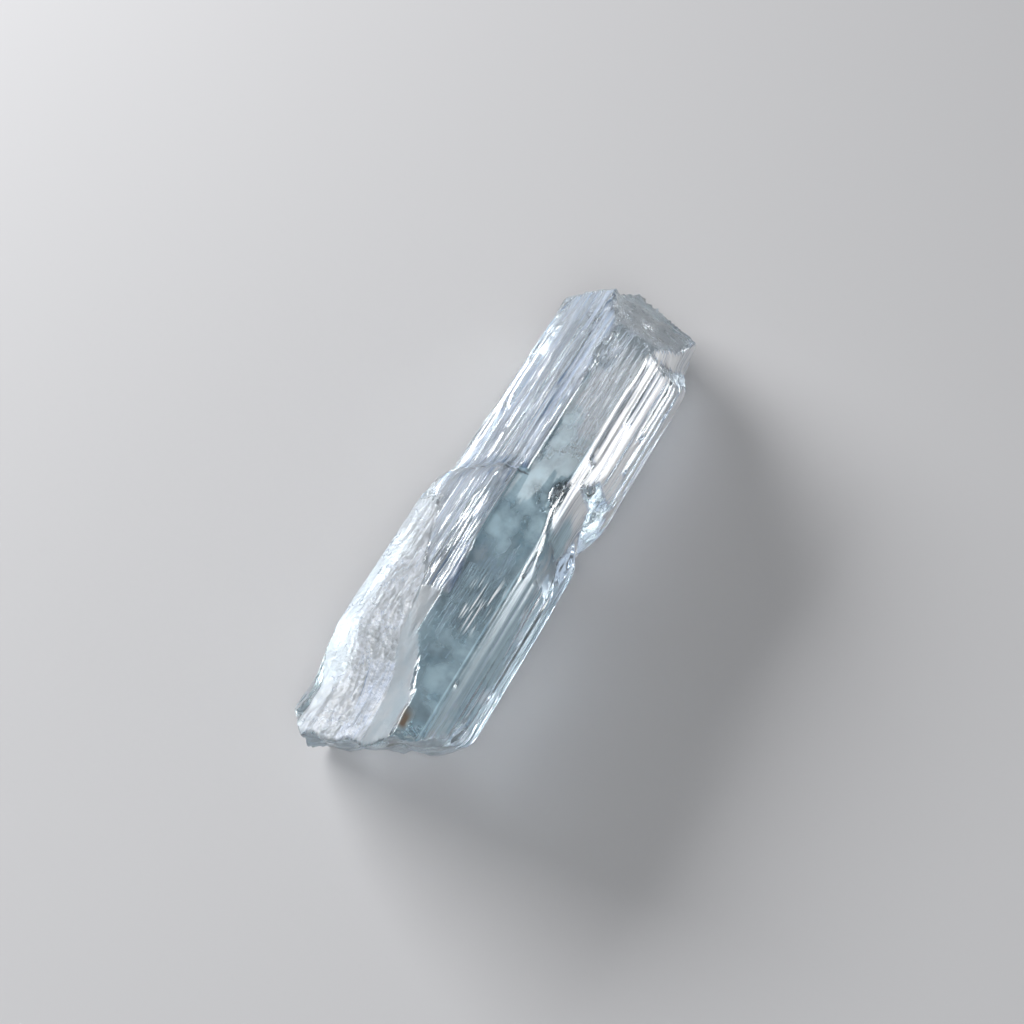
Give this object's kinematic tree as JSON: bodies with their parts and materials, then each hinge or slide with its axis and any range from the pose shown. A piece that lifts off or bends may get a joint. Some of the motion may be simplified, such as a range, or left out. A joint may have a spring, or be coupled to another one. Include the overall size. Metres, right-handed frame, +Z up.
{
  "type": "topaz crystal",
  "caption": "Long striated prism of clear pale blue topaz, lying on a flat prism face, with an etched end, a broken end and a frosted break along its side.",
  "frame": {"origin": "middle of the underside of the crystal's bounding box, on the surface it lies on", "axes": "+X along the crystal's length towards the etched end, +Y to the side of the frosted break, +Z up from the prism face it lies on"},
  "size_m": [0.061, 0.0174, 0.0142],
  "materials": {
    "topaz": "clear, striated along the length, frosted on the broken side, dull on the etched end"
  },
  "bodies": {
    "root": {"topaz_crystal": "topaz"}
  },
  "joints": []
}
